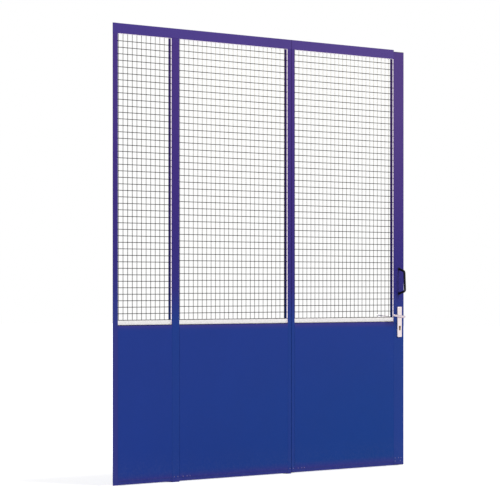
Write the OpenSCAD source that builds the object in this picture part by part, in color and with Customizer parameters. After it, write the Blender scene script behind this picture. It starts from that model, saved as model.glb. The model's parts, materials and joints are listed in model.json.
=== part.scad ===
// Wire mesh partition with a hinged door leaf, in millimetres.
// X runs along the partition, +Y away from the face side, +Z up from the floor.
// The origin is on the floor, under the middle of the whole assembly.

/* [Bays and posts] */
// Height of the frame above the floor
unit_h = 2950; // [2600:10:3200]
// Clear width of the narrow fixed bay
narrow_bay_w = 503; // [300:1:900]
// Clear width of the middle fixed bay
middle_bay_w = 1077; // [700:1:1400]
// Clear width of the bay inside the door leaf
door_bay_w = 1073; // [700:1:1300]
// Width of the cover strip at the left end
end_strip_w = 45; // [40:1:60]
// Thickness of the cover strip and of the bar behind it
strip_t = 3; // [2:0.5:4]
// Width of the mullion between the fixed bays
mullion_w = 70; // [50:1:100]
// Width of the fixed post that carries the hinges
door_post_w = 34; // [32:1:60]
// Gap between the door post and the leaf
hinge_gap = 3; // [2:0.5:6]
// Width of the leaf's hinge stile
hinge_stile_w = 33; // [32:1:60]
// Width of the leaf's lock stile
lock_stile_w = 112; // [98:1:120]
// Depth of the posts and rails, front to back
frame_d = 35; // [32:1:50]
// Wall of the square tubes
tube_wall = 2; // [1.5:0.5:3]
// Outer corner radius of the square tubes
corner_r = 2; // [1:0.5:4]

/* [Rails and sheets] */
// Height of the top rail
top_rail_h = 65; // [40:1:80]
// Height of the rail behind the top edge of the sheets
mid_rail_h = 35; // [25:1:60]
// Height of the rail behind the bottom edge of the sheets
bottom_rail_h = 40; // [36:1:60]
// Top edge of the steel sheets above the floor
sheet_top = 1025; // [950:5:1200]
// Bottom edge of the steel sheets above the floor
sheet_bottom = 28; // [20:1:29]
// Thickness of the steel sheets
sheet_t = 2; // [1.5:0.5:3]
// Depth of the folds at the sides of the sheets
sheet_fold_d = 20; // [10:1:25]
// Gap between a sheet and the upright beside it
sheet_gap = 0.5; // [0.3:0.1:1]
// Floor clearance under the door leaf
door_clear = 6; // [6:1:12]
// How far the lock stile stops below the top of the rails
stile_drop = 12; // [0:1:20]
// Thickness of the plastic caps on the lock stile
cap_t = 3; // [2:0.5:4]
// Length of a plastic cap's plug inside its tube
cap_plug_l = 15; // [10:1:25]

/* [Mesh] */
// Diameter of the mesh wire
wire_d = 4; // [2:0.5:5]
// Spacing of the upright wires in the narrow bay
narrow_pitch_x = 42.6; // [30:0.1:60]
// Spacing of the upright wires in the middle bay
middle_pitch_x = 43.2; // [30:0.1:60]
// Spacing of the upright wires in the door leaf
door_pitch_x = 42.4; // [30:0.1:60]
// Spacing of the level wires in the narrow bay
narrow_pitch_z = 41.5; // [30:0.1:60]
// Spacing of the level wires in the two wide bays
wide_pitch_z = 42.8; // [30:0.1:60]
// First upright wire from the upright at its left
first_wire_x = 35; // [10:1:40]
// Gap between a wire's end and the frame
wire_end_gap = 0.3; // [0.1:0.1:0.5]
// Height of the sill channel that the mesh stands in
sill_h = 29; // [20:1:40]
// How far the sill channel sits behind the front face
sill_setback = 10; // [4:1:14]
// Wall of the sill channel
sill_wall = 2; // [1:0.5:3]
// Thickness of the edge trim strips
trim_t = 2; // [1:0.5:3]
// Distance of the edge trim strips behind the uprights' face
trim_setback = 3; // [0:1:3]

/* [Feet] */
// Thickness of the foot plates
foot_t = 5; // [4:0.5:5]
// How far a foot plate reaches behind the frame
foot_reach = 60; // [50:1:62]
// Radius of the floor anchor hole
anchor_r = 6; // [4:0.5:8]
// Anchor hole centre behind the rear face
anchor_back = 35; // [28:1:40]

/* [Side fixing] */
// Radius of the fixing holes in the left side bar
side_hole_r = 4.5; // [3:0.5:5]
// Height of the lowest side fixing hole
side_low_z = 300; // [150:10:400]
// Height of the second side fixing hole
side_mid_z = 800; // [500:10:900]

/* [Hinges] */
// Number of lift-off hinges
hinge_count = 4; // [3:1:4]
// Height of the bottom hinge's joint
hinge_first_z = 230; // [150:10:300]
// Spacing of the hinges
hinge_spacing = 820; // [600:10:820]
// Radius of a hinge barrel
barrel_r = 8; // [7:0.5:10]
// Radius of a hinge pin
pin_r = 5; // [4:0.5:5.5]
// Radial clearance of the sleeve on its pin
pin_clear = 0.05; // [0.02:0.01:0.1]
// Length of one hinge half
hinge_half_l = 60; // [50:1:80]
// Width of a hinge flap
flap_w = 26; // [20:1:28]
// Thickness of a hinge flap
flap_t = 4; // [3:0.5:5]
// Thickness of the hinge washer
washer_t = 1.9; // [1:0.1:2]

/* [Lock] */
// Height of the lever's axis above the floor
lever_z = 1058; // [1000:1:1100]
// Distance from the lever's axis down to the cylinder's axis
cylinder_drop = 72; // [70:1:92]
// Distance from the leaf's free edge to the lever's axis
backset = 55; // [50:1:60]
// Travel and reach of the latch bolt
latch_reach = 12; // [10:0.5:14]
// Throw of the dead bolt
bolt_throw = 20; // [14:1:20]
// Thickness of the latch and dead bolts
bolt_t = 12; // [10:1:12]
// Depth of the lock case into the stile
case_d = 88; // [84:1:95]
// Outside thickness of the lock case
case_t = 16; // [16:1:20]
// Sheet thickness of the lock case
case_wall = 1.5; // [1:0.5:2]
// Thickness of the forend
forend_t = 3; // [2.5:0.5:4]
// Width of the forend
forend_w = 24; // [22:1:24]
// Length of the forend
forend_l = 240; // [230:1:260]
// Side of the square spindle
spindle_s = 8; // [7:1:8]
// Length of the lock cylinder
cylinder_l = 59; // [56:1:62]
// Radius of the cylinder plug
plug_r = 6.5; // [6:0.1:7]

/* [Handles] */
// Width of the backplates
plate_w = 48; // [42:1:50]
// Length of the backplates
plate_l = 215; // [212:1:240]
// Height of a backplate off the stile
plate_t = 9; // [8:1:12]
// Reach of the levers off the stile
lever_reach = 64; // [60:1:75]
// Radius of the lever's bar
lever_r = 7; // [6:0.5:9]
// Length of the lever's grip
lever_l = 130; // [110:1:140]
// Rise of the lever towards its tip, in degrees
lever_rise = 5; // [0:1:10]
// Distance between the two feet of the pull handle
pull_l = 174; // [140:1:200]
// Height of the pull handle's middle above the floor
pull_z = 1310; // [1280:5:1400]
// Radius of the pull handle's bar
pull_r = 8; // [6:0.5:9]
// Standoff of the pull handle's bar at its top end
pull_top_off = 50; // [38:1:54]
// Standoff of the pull handle's bar at its bottom end
pull_low_off = 56; // [42:1:57]
// How far each leg of the pull handle leans towards its middle
pull_leg_lean = 17; // [10:1:30]

/* [Hidden] */

$fn = 48;
wire_fn = 16;

// Extra length that carries a cut past a face
cut = 1;

// Along X, from the left end to the leaf's free edge
unit_w = end_strip_w + narrow_bay_w + mullion_w + middle_bay_w + door_post_w + hinge_gap
    + hinge_stile_w + door_bay_w + lock_stile_w;
left_x = -(unit_w + latch_reach) / 2;
narrow_x = left_x + end_strip_w;
mullion_x = narrow_x + narrow_bay_w;
middle_x = mullion_x + mullion_w;
door_post_x = middle_x + middle_bay_w;
leaf_x = door_post_x + door_post_w + hinge_gap;
door_x = leaf_x + hinge_stile_w;
lock_stile_x = door_x + door_bay_w;
right_x = lock_stile_x + lock_stile_w;
hinge_x = leaf_x - hinge_gap / 2;

// Front to back
front_y = -frame_d / 2;
rear_y = frame_d / 2;
rail_front_y = front_y + sheet_t;
barrel_gap = 1;
pivot_y = rear_y + barrel_r + barrel_gap;
wire_rear_gap = 0.45;
weld_gap = 0.05;
upright_wire_y = rear_y - sill_wall - wire_rear_gap - wire_d / 2;
level_wire_y = upright_wire_y - wire_d - weld_gap;

// Heights
post_top = unit_h - top_rail_h;
mid_rail_top = sheet_top - sheet_t;
mid_rail_z = mid_rail_top - mid_rail_h;
mesh_z = sheet_top + sill_h + wire_d / 2;
stile_top = unit_h - stile_drop;

// Play of a plug, pin or screw in its place, and of a thread
slip = 0.1;
thread_fit = 0.05;

// The lock, about the lever's axis
lock_x = right_x - backset;
cylinder_z = lever_z - cylinder_drop;
case_x = right_x - forend_t - case_d;
case_x2 = right_x - forend_t;
case_low_z = cylinder_z - 38;
case_top_z = lever_z + 45;
forend_z = (case_low_z + case_top_z) / 2;
forend_screw_off = forend_l / 2 - 12;
lug_x = right_x - 3 * forend_t;
latch_low_z = lever_z + 3;
latch_top_z = lever_z + 27;
bolt_low_z = cylinder_z + 21;
bolt_top_z = cylinder_z + 47;
bolt_clear = 0.3;
bolt_tail_low_z = bolt_low_z + 6;
bolt_tail_top_z = bolt_top_z - 8;
forend_fit = 0.2;
screw_clear = 0.2;
screw_over = 2;
lug_over = 8;
case_inner = case_t / 2 - case_wall;

// The cylinder: a round head over a straight stem
head_r = 8.5;
stem_r = 5;
profile_drop = 19.5;
cam_t = 10;
cam_r = 8.3;
cam_reach = 13;
cam_stub_r = 4;
cylinder_fit = 0.05;
cylinder_clear = 0.5;
cam_gap = 0.2;
plug_proud = 1;
key_slot_w = 1.8;
key_slot_low = 4.6;
key_slot_high = 3.4;
key_slot_end = 4;

// The follower's arm pushes the latch's lug
hub_r = 9.5;
collar_r = 7.9;
arm_l = 17;
arm_w = 4;
lug_gap = 1;
lug_w = 6;
lug_low_z = lever_z + 10;
tail_z = lever_z + 21;
tail_t = 4;
talon_w = 3;
talon_gap = 1;
latch_head_in = 5;
latch_flat = 0.5;
bolt_head_in = 2;

// Backplates and their bolts
plate_mid_z = lever_z - 36;
plate_skin = 2;
plate_corner_r = 6;
plate_bolt_r = 2.5;
plate_boss_r = 6;
plate_head_t = 1.5;
bolt_pass_r = 4;
sleeve_nut_r = 3.8;
plate_bolt_top_z = lever_z + 57;
plate_bolt_low_z = lever_z - 129;
screw_head_r = 4.6;
screw_head_h = 2.2;
neck_r = 8.3;
neck_fit = 0.1;
neck_gap = 1;
lever_axis_y = lever_reach - lever_r;
spindle_out = 40;
spindle_l = 2 * (rear_y + spindle_out);
spindle_fit = 0.06;
spindle_end_gap = 0.2;
grub_r = 2.5;
grub_off = 8;
grub_sunk = 0.5;
spring_r = 1.2;
spring_gap = 0.4;

// Pull handle and its screws
pull_grip_r = pull_r - 0.2;
pull_bend_r = pull_r + 0.3;
pull_pad_r = 11;
pull_pad_t = 4;
pull_neck_r = pull_r + 1.5;
pull_neck_t = 4;
pull_screw_r = 3;
pull_screw_bite = 10;
pull_head_r = 5;
pull_head_t = 3.5;

// Rivet rows: distance from the left edge of the upright they start on
rivet_r = 2;
rivet_head_r = 3.6;
rivet_head_h = 1.6;
rivet_grip = 4;
rivet_z = 35;
upright_rivets = [20, 54];
sheet_rivets = [35, 72, 101];
stile_rivets_low = [15, 72];
stile_rivets_high = [15, 53, 81];
stile_rivet_high_z = 57;

// Top of the spigots
spigot_top = 70;

// Hinge flaps from the pin's axis, and the solid end of each hinge half
flap_off = 2;
blind_end = 8;

// Gap between a side fixing hole and the sheet's fold
side_hole_gap = 2;

// Colours
violet_paint = [0.29, 0.24, 0.53];
blue_paint = [0.15, 0.23, 0.53];
zinc = [0.88, 0.87, 0.85];
wire_zinc = [0.45, 0.45, 0.44];
lock_steel = [0.72, 0.72, 0.74];
silver = [0.82, 0.81, 0.80];
brass = [0.78, 0.62, 0.30];
black = [0.05, 0.05, 0.06];

// Heights of the hinges' joints
function hinge_heights() = [for (i = [0 : hinge_count - 1]) hinge_first_z + i * hinge_spacing];

// Midway between two level wires of the narrow bay, so that a bolt passes between them
function between_wires(row) = mesh_z + (row + 0.5) * narrow_pitch_z;
side_hole_heights = [side_low_z, side_mid_z, between_wires(20), between_wires(39)];

// A box from one corner to the opposite one
module box(low, high) {
    translate(low) cube(high - low);
}

// A rectangle about the origin with round corners
module round_rectangle(w, l, r) {
    square([w - 2 * r, l], center = true);
    square([w, l - 2 * r], center = true);
    for (x = [-1, 1], y = [-1, 1])
        translate([x * (w / 2 - r), y * (l / 2 - r)]) circle(r = r);
}

// A solid upright with a tube's outline
module upright_bar(x0, x1, z0, z1) {
    translate([(x0 + x1) / 2, 0, z0]) linear_extrude(z1 - z0)
        round_rectangle(x1 - x0, frame_d, corner_r);
}

// A tube along Z, open at both ends
module upright_tube(x0, x1, z0, z1) {
    difference() {
        upright_bar(x0, x1, z0, z1);
        box([x0 + tube_wall, front_y + tube_wall, z0 - cut],
            [x1 - tube_wall, rear_y - tube_wall, z1 + cut]);
    }
}

// A tube along X; closed0 and closed1 say which ends have a welded plate
module rail_tube(x0, x1, y0, z0, z1, closed0 = false, closed1 = false) {
    difference() {
        translate([x0, (y0 + rear_y) / 2, (z0 + z1) / 2])
            rotate([90, 0, 90]) linear_extrude(x1 - x0)
                round_rectangle(rear_y - y0, z1 - z0, corner_r);
        box([closed0 ? x0 + tube_wall : x0 - cut, y0 + tube_wall, z0 + tube_wall],
            [closed1 ? x1 - tube_wall : x1 + cut, rear_y - tube_wall, z1 - tube_wall]);
    }
}

// A cylinder along Y from y0 to y1
module rod_y(r, y0, y1) {
    translate([0, y0, 0]) rotate([-90, 0, 0]) cylinder(r = r, h = y1 - y0);
}

// A cylinder along X from x0 to x1
module rod_x(r, x0, x1) {
    translate([x0, 0, 0]) rotate([0, 90, 0]) cylinder(r = r, h = x1 - x0);
}

// A shape drawn in X and Z, carried along Y from y0 to y1
module along_y(y0, y1) {
    translate([0, y1, 0]) rotate([90, 0, 0]) linear_extrude(y1 - y0) children();
}

// A rod of radius r between two points that share one X
module rod_between(a, b, r) {
    d = b - a;
    translate(a) rotate([-atan2(d[1], d[2]), 0, 0]) cylinder(r = r, h = norm(d));
}

// ---- Uprights and rails ----

// A flat strip in the front face that laps over the neighbour's post
module left_cover_strip() {
    color(violet_paint)
        box([left_x, front_y, foot_t], [narrow_x, front_y + strip_t, post_top]);
}

// The flat bar on edge behind it, which is bolted to the neighbour
module left_side_bar() {
    color(violet_paint) difference() {
        box([narrow_x - strip_t, front_y + strip_t, foot_t], [narrow_x, rear_y, post_top]);
        for (z = side_hole_heights)
            translate([0, side_hole_y(), z]) rod_x(side_hole_r, left_x, narrow_x + cut);
    }
}

// The side fixing holes pass behind the sheets' folds
function side_hole_y() = front_y + sheet_fold_d + side_hole_r + side_hole_gap;

module mullion() {
    color(violet_paint) difference() {
        upright_tube(mullion_x, middle_x, foot_t, post_top);
        for (dx = upright_rivets) rivet_hole(mullion_x + dx, rivet_z);
    }
}

module door_post() {
    color(violet_paint) difference() {
        upright_tube(door_post_x, door_post_x + door_post_w, foot_t, post_top);
        rivet_hole(door_post_x + upright_rivets[0], rivet_z);
    }
}

// The rail's front wall runs on past the tube, over the cover strip
module top_rail() {
    color(violet_paint) union() {
        rail_tube(narrow_x, leaf_x - hinge_gap, front_y, post_top, unit_h, false, true);
        box([left_x, front_y, post_top], [narrow_x + strip_t, front_y + strip_t, unit_h]);
    }
}

module rail_end_cap() {
    inset = tube_wall + slip;
    color(black) union() {
        box([narrow_x - cap_t, front_y + strip_t, post_top], [narrow_x, rear_y, unit_h]);
        box([narrow_x - cap_t, front_y + strip_t + slip, post_top + inset],
            [narrow_x + cap_plug_l, rear_y - inset, unit_h - inset]);
    }
}

module mid_rail(x0, x1) {
    color(violet_paint) rail_tube(x0, x1, rail_front_y, mid_rail_z, mid_rail_top);
}

module bottom_rail(x0, x1, z0, rivets) {
    color(violet_paint) difference() {
        rail_tube(x0, x1, rail_front_y, z0, foot_t + bottom_rail_h);
        for (dx = rivets) rivet_hole(x0 + dx, rivet_z);
    }
}

// A plate on the floor; rivets are the ones that hold a post on the plate's spigot
module foot_plate(x0, x1, rivets = []) {
    color(violet_paint) difference() {
        union() {
            box([x0, front_y, 0], [x1, rear_y + foot_reach, foot_t]);
            if (len(rivets) > 0)
                spigot(x0 + tube_wall + slip, x1 - tube_wall - slip, foot_t / 2, spigot_top);
        }
        translate([(x0 + x1) / 2, rear_y + anchor_back, -cut])
            cylinder(r = anchor_r, h = foot_t + 2 * cut);
        for (dx = rivets) rivet_hole(x0 + dx, rivet_z);
    }
}

// A short tube that fits inside a post
module spigot(x0, x1, z0, z1) {
    y0 = front_y + tube_wall + slip;
    difference() {
        box([x0, y0, z0], [x1, -y0, z1]);
        box([x0 + tube_wall, y0 + tube_wall, foot_t], [x1 - tube_wall, -y0 - tube_wall, z1 + cut]);
    }
}

// ---- Lower sheets ----

// A flat skin with its top edge folded back over the rail and a fold down each side
module sheet(x0, x1, rivets) {
    left = x0 + sheet_gap;
    right = x1 - sheet_gap;
    fold_low = foot_t + bottom_rail_h + sheet_gap;
    fold_high = mid_rail_z - sheet_gap;
    color(blue_paint) difference() {
        union() {
            box([left, front_y, sheet_bottom], [right, rail_front_y, sheet_top]);
            box([left, front_y, mid_rail_top], [right, rear_y, sheet_top]);
            box([left, front_y, fold_low], [left + sheet_t, front_y + sheet_fold_d, fold_high]);
            box([right - sheet_t, front_y, fold_low], [right, front_y + sheet_fold_d, fold_high]);
        }
        for (dx = rivets) rivet_hole(x0 + dx, rivet_z);
    }
}

// ---- Mesh, sill channel and edge trim ----

// Upright wires stand in the sill channel; level wires run from upright to upright
module mesh(x0, x1, pitch_x, pitch_z) {
    columns = floor((x1 - x0 - first_wire_x - wire_d) / pitch_x) + 1;
    rows = floor((post_top - mesh_z - wire_d) / pitch_z) + 1;
    foot_z = sheet_top + sill_wall + wire_end_gap;
    color(wire_zinc) {
        for (i = [0 : columns - 1])
            translate([x0 + first_wire_x + i * pitch_x, upright_wire_y, foot_z])
                cylinder(d = wire_d, h = post_top - wire_end_gap - foot_z, $fn = wire_fn);
        for (j = [0 : rows - 1])
            translate([x0 + wire_end_gap, level_wire_y, mesh_z + j * pitch_z])
                rotate([0, 90, 0])
                    cylinder(d = wire_d, h = x1 - x0 - 2 * wire_end_gap, $fn = wire_fn);
    }
}

module sill_channel(x0, x1) {
    channel_front = front_y + sill_setback;
    color(zinc) difference() {
        box([x0, channel_front, sheet_top], [x1, rear_y, sheet_top + sill_h]);
        box([x0 - cut, channel_front + sill_wall, sheet_top + sill_wall],
            [x1 + cut, rear_y - sill_wall, sheet_top + sill_h + cut]);
    }
}

// Strips on the front edge of a bay's two uprights and under its top rail
module edge_trim(x0, x1) {
    trim_front = front_y + trim_setback;
    trim_rear = front_y + sill_setback;
    color(zinc) {
        box([x0, trim_front, sheet_top], [x0 + trim_t, trim_rear, post_top]);
        box([x1 - trim_t, trim_front, sheet_top], [x1, trim_rear, post_top]);
        box([x0 + trim_t, trim_front, post_top - trim_t], [x1 - trim_t, trim_rear, post_top]);
    }
}

// ---- Rivets ----

module rivet_hole(x, z) {
    translate([x, 0, z]) rod_y(rivet_r + slip, front_y - cut, front_y + rivet_grip + cut);
}

// A domed head on the front face with its shank behind it
module rivet(x, z) {
    dome_r = (rivet_head_r * rivet_head_r + rivet_head_h * rivet_head_h) / (2 * rivet_head_h);
    translate([x, front_y, z]) {
        intersection() {
            translate([0, dome_r - rivet_head_h, 0]) sphere(r = dome_r);
            rod_y(rivet_head_r + cut, -rivet_head_h, 0);
        }
        rod_y(rivet_r, -rivet_head_h / 2, rivet_grip);
    }
}

module panel_rivets() {
    color(zinc) {
        for (dx = upright_rivets) rivet(mullion_x + dx, rivet_z);
        for (dx = sheet_rivets) rivet(middle_x + dx, rivet_z);
        rivet(door_post_x + upright_rivets[0], rivet_z);
    }
}

// The second rivet of the door post's row falls on the hinge stile
leaf_rivet_x = door_post_x + upright_rivets[1];

module door_rivets() {
    color(zinc) {
        rivet(leaf_rivet_x, rivet_z);
        for (dx = sheet_rivets) rivet(door_x + dx, rivet_z);
        for (dx = stile_rivets_low) rivet(lock_stile_x + dx, rivet_z);
        for (dx = stile_rivets_high) rivet(lock_stile_x + dx, stile_rivet_high_z);
    }
}

// ---- Hinges ----

// One half of every hinge: a barrel from z0 to z0 + length, with a flap on one side
module hinge_halves(side, z_shift) {
    flap_x0 = side > 0 ? flap_off : -flap_off - flap_w;
    for (z = hinge_heights())
        translate([hinge_x, pivot_y, z + z_shift]) {
            cylinder(r = barrel_r, h = hinge_half_l);
            translate([flap_x0, rear_y - pivot_y, 0]) cube([flap_w, flap_t, hinge_half_l]);
        }
}

module hinge_pintles() {
    color(violet_paint) {
        hinge_halves(-1, -hinge_half_l);
        for (z = hinge_heights())
            translate([hinge_x, pivot_y, z - cut])
                cylinder(r = pin_r, h = hinge_half_l - blind_end + cut);
    }
}

module hinge_sleeves() {
    joint = washer_t + slip;
    color(violet_paint) difference() {
        hinge_halves(1, joint);
        for (z = hinge_heights())
            translate([hinge_x, pivot_y, z + joint - cut])
                cylinder(r = pin_r + pin_clear, h = hinge_half_l - blind_end + cut);
    }
}

module hinge_washers() {
    color(brass)
        for (z = hinge_heights())
            translate([hinge_x, pivot_y, z]) difference() {
                cylinder(r = barrel_r, h = washer_t);
                translate([0, 0, -cut]) cylinder(r = pin_r + slip, h = washer_t + 2 * cut);
            }
}

// ---- Door leaf ----

module hinge_stile() {
    color(violet_paint) difference() {
        upright_tube(leaf_x, door_x, door_clear + cap_t, post_top);
        rivet_hole(leaf_rivet_x, rivet_z);
    }
}

module door_top_rail() {
    color(violet_paint)
        rail_tube(leaf_x, lock_stile_x, front_y, post_top, unit_h, true, true);
}

// The round head and straight stem of the cylinder, grown by extra
module cylinder_profile(extra = 0) {
    circle(r = head_r + extra);
    translate([-stem_r - extra, -profile_drop]) square([2 * (stem_r + extra), profile_drop]);
    translate([0, -profile_drop]) circle(r = stem_r + extra);
}

module cylinder_cut(y0, y1, extra) {
    translate([lock_x, 0, cylinder_z]) along_y(y0, y1) cylinder_profile(extra);
}

// Where each screw of the two backplates passes
module at_plate_bolts() {
    for (z = [plate_bolt_top_z, plate_bolt_low_z]) translate([lock_x, 0, z]) children();
}

// Where each foot of the pull handle stands: 1 is the top one
module at_pull_feet() {
    for (side = [1, -1]) translate([lock_x, 0, pull_z + side * pull_l / 2]) children();
}

module lock_stile() {
    low = door_clear + cap_t;
    high = stile_top - cap_t;
    color(violet_paint) difference() {
        union() {
            upright_tube(lock_stile_x, right_x, low, high);
            // lugs inside the tube that the forend is screwed to
            box([lug_x, front_y + cut, case_top_z + cut],
                [case_x2, rear_y - cut, forend_z + forend_l / 2 + lug_over]);
            box([lug_x, front_y + cut, forend_z - forend_l / 2 - lug_over],
                [case_x2, rear_y - cut, case_low_z - cut]);
        }
        // slot for the forend
        box([case_x2, -forend_w / 2 - forend_fit, forend_z - forend_l / 2 - forend_fit],
            [right_x + cut, forend_w / 2 + forend_fit, forend_z + forend_l / 2 + forend_fit]);
        for (side = [-1, 1])
            translate([0, 0, forend_z + side * forend_screw_off])
                rod_x(plate_bolt_r + slip, lug_x - cut, right_x);
        translate([lock_x, 0, lever_z]) rod_y(neck_r + neck_gap, front_y - cut, rear_y + cut);
        cylinder_cut(front_y - cut, rear_y + cut, cylinder_clear);
        at_plate_bolts() rod_y(bolt_pass_r, front_y - cut, rear_y + cut);
        at_pull_feet() rod_y(pull_screw_r + screw_clear, front_y - cut, rear_y + cut);
        for (dx = stile_rivets_low) rivet_hole(lock_stile_x + dx, rivet_z);
        for (dx = stile_rivets_high) rivet_hole(lock_stile_x + dx, stile_rivet_high_z);
    }
}

// A cap under a stile, with a hollow plug that the rivets hold
module foot_cap(x0, x1, rivets_low, rivets_high) {
    y0 = front_y + tube_wall + slip;
    plug_x0 = x0 + tube_wall + slip;
    plug_x1 = x1 - tube_wall - slip;
    floor_z = door_clear + cap_t;
    difference() {
        union() {
            upright_bar(x0, x1, door_clear, floor_z);
            box([plug_x0, y0, door_clear], [plug_x1, -y0, spigot_top]);
        }
        box([plug_x0 + tube_wall, y0 + tube_wall, floor_z],
            [plug_x1 - tube_wall, -y0 - tube_wall, spigot_top + cut]);
        for (x = rivets_low) rivet_hole(x, rivet_z);
        for (x = rivets_high) rivet_hole(x, stile_rivet_high_z);
    }
}

module stile_caps() {
    inset = tube_wall + slip;
    top_z = stile_top - cap_t;
    color(black) {
        upright_bar(lock_stile_x, right_x, top_z, stile_top);
        box([lock_stile_x + inset, front_y + inset, top_z - cap_plug_l],
            [right_x - inset, rear_y - inset, top_z]);
        foot_cap(lock_stile_x, right_x, [for (dx = stile_rivets_low) lock_stile_x + dx],
            [for (dx = stile_rivets_high) lock_stile_x + dx]);
        foot_cap(leaf_x, door_x, [leaf_rivet_x], []);
    }
}

// ---- Pull handle ----

module pull_handle() {
    top_y = front_y - pull_top_off;
    low_y = front_y - pull_low_off;
    top_end = [0, top_y, pull_l / 2 - pull_leg_lean];
    low_end = [0, low_y, -pull_l / 2 + pull_leg_lean];
    top_foot = [0, front_y - pull_pad_t, pull_l / 2];
    low_foot = [0, front_y - pull_pad_t, -pull_l / 2];
    color(black) difference() {
        union() {
            translate([lock_x, 0, pull_z]) {
                rod_between(top_foot, top_end, pull_r);
                rod_between(low_foot, low_end, pull_r);
                rod_between(low_end, top_end, pull_grip_r);
                for (p = [top_end, low_end]) translate(p) sphere(r = pull_bend_r);
            }
            at_pull_feet() rod_y(pull_pad_r, front_y - pull_pad_t, front_y);
            at_pull_feet() rod_y(pull_neck_r, front_y - pull_pad_t - pull_neck_t, front_y);
        }
        at_pull_feet()
            rod_y(pull_screw_r + thread_fit, front_y - pull_screw_bite, front_y + cut);
    }
}

module pull_handle_screws() {
    color(lock_steel) at_pull_feet() {
        rod_y(pull_screw_r, front_y - pull_screw_bite + cut, rear_y + cut);
        rod_y(pull_head_r, rear_y, rear_y + pull_head_t);
    }
}

// ---- Lock ----

// The openings that both broad sides of the case share
module case_side_cuts(y0, y1) {
    translate([lock_x, 0, lever_z]) rod_y(collar_r + neck_fit, y0, y1);
    cylinder_cut(y0, y1, cylinder_clear);
}

module lock_case() {
    half = case_t / 2;
    color(lock_steel) difference() {
        box([case_x, -half + case_wall, case_low_z], [case_x2, half, case_top_z]);
        box([case_x + case_wall, -half, case_low_z + case_wall],
            [case_x2 - case_wall, case_inner, case_top_z - case_wall]);
        case_side_cuts(0, half + cut);
        bolt_openings(case_x2 - case_wall - cut, case_x2 + cut);
        translate([0, 0, cylinder_z - profile_drop])
            rod_x(plate_bolt_r + screw_clear, case_x2 - case_wall - cut, case_x2 + cut);
    }
}

module lock_case_cover() {
    half = case_t / 2;
    color(lock_steel) difference() {
        box([case_x, -half, case_low_z], [case_x2, -half + case_wall, case_top_z]);
        case_side_cuts(-half - cut, 0);
    }
}

module bolt_openings(x0, x1) {
    side = bolt_t / 2 + bolt_clear;
    box([x0, -side, latch_low_z - bolt_clear], [x1, side, latch_top_z + bolt_clear]);
    box([x0, -side, bolt_low_z - bolt_clear], [x1, side, bolt_top_z + bolt_clear]);
}

module lock_forend() {
    color(silver) difference() {
        box([case_x2, -forend_w / 2, forend_z - forend_l / 2],
            [right_x, forend_w / 2, forend_z + forend_l / 2]);
        bolt_openings(case_x2 - cut, right_x + cut);
        for (z = forend_screw_heights()) translate([0, 0, z]) countersunk(screw_clear);
    }
}

function forend_screw_heights() = [forend_z - forend_screw_off, forend_z + forend_screw_off,
    cylinder_z - profile_drop];

// A countersunk screw's head and the first of its shank, in the forend, grown by extra
module countersunk(extra = 0) {
    translate([right_x, 0, 0]) rotate([0, -90, 0])
        cylinder(r1 = screw_head_r + extra, r2 = plate_bolt_r + extra, h = screw_head_h);
    rod_x(plate_bolt_r + extra, case_x2 - cut, right_x - screw_head_h + cut / 2);
}

module forend_screws() {
    color(silver)
        for (side = [-1, 1])
            translate([0, 0, forend_z + side * forend_screw_off]) {
                countersunk();
                rod_x(plate_bolt_r - thread_fit, lug_x - screw_over, case_x2);
            }
}

module cylinder_screw() {
    color(silver) translate([0, 0, cylinder_z - profile_drop]) {
        countersunk();
        rod_x(plate_bolt_r, lock_x - screw_over, case_x2);
    }
}

module cylinder_body() {
    half = cylinder_l / 2;
    slot = cam_t / 2 + cam_gap;
    color(brass) difference() {
        cylinder_cut(-half, half, 0);
        translate([lock_x, 0, cylinder_z]) {
            rod_y(plug_r + cylinder_fit, -half - cut, half + cut);
            box([-2 * head_r, -slot, -cam_reach - cylinder_clear], [2 * head_r, slot, 2 * head_r]);
        }
        translate([0, 0, cylinder_z - profile_drop])
            rod_x(plate_bolt_r + slip, lock_x - 2 * stem_r, lock_x + 2 * stem_r);
    }
}

// A plug with its keyway, out to one face; side is -1 at the front
module plug(side, inner) {
    outer = cylinder_l / 2 + plug_proud;
    translate([lock_x, 0, cylinder_z]) scale([1, side, 1]) difference() {
        rod_y(plug_r, inner, outer);
        box([-key_slot_w / 2, inner + key_slot_end, -key_slot_low],
            [key_slot_w / 2, outer + cut, key_slot_high]);
    }
}

module front_plug() {
    color(brass) union() {
        plug(-1, cam_t / 2 + cylinder_fit);
        translate([lock_x, 0, cylinder_z]) rod_y(cam_stub_r, -cam_t / 2 - cut, 0);
    }
}

module rear_plug() {
    color(brass) plug(1, cam_t / 2 + 2 * cam_gap);
}

module cylinder_cam() {
    color(lock_steel) translate([lock_x, 0, cylinder_z]) difference() {
        union() {
            rod_y(cam_r, -cam_t / 2, cam_t / 2);
            box([-cam_stub_r, -cam_t / 2, 0], [cam_stub_r, cam_t / 2, cam_reach - cut]);
        }
        rod_y(cam_stub_r + cylinder_fit, -cam_t / 2 - cut, slip);
    }
}

module latch_bolt() {
    head_back = latch_reach + latch_head_in;
    half = bolt_t / 2;
    lug_right = lock_x - arm_w / 2 - lug_gap;
    color(lock_steel) union() {
        translate([right_x, 0, latch_low_z]) linear_extrude(latch_top_z - latch_low_z)
            polygon([[-head_back, -half], [latch_flat, -half], [latch_reach, half / 2],
                [latch_reach, half], [-head_back, half]]);
        box([lug_right - lug_w, -tail_t / 2, tail_z],
            [right_x - head_back + cut, tail_t / 2, latch_top_z]);
        box([lug_right - lug_w, -tail_t / 2, lug_low_z],
            [lug_right, tail_t / 2, tail_z + cut]);
    }
}

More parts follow.
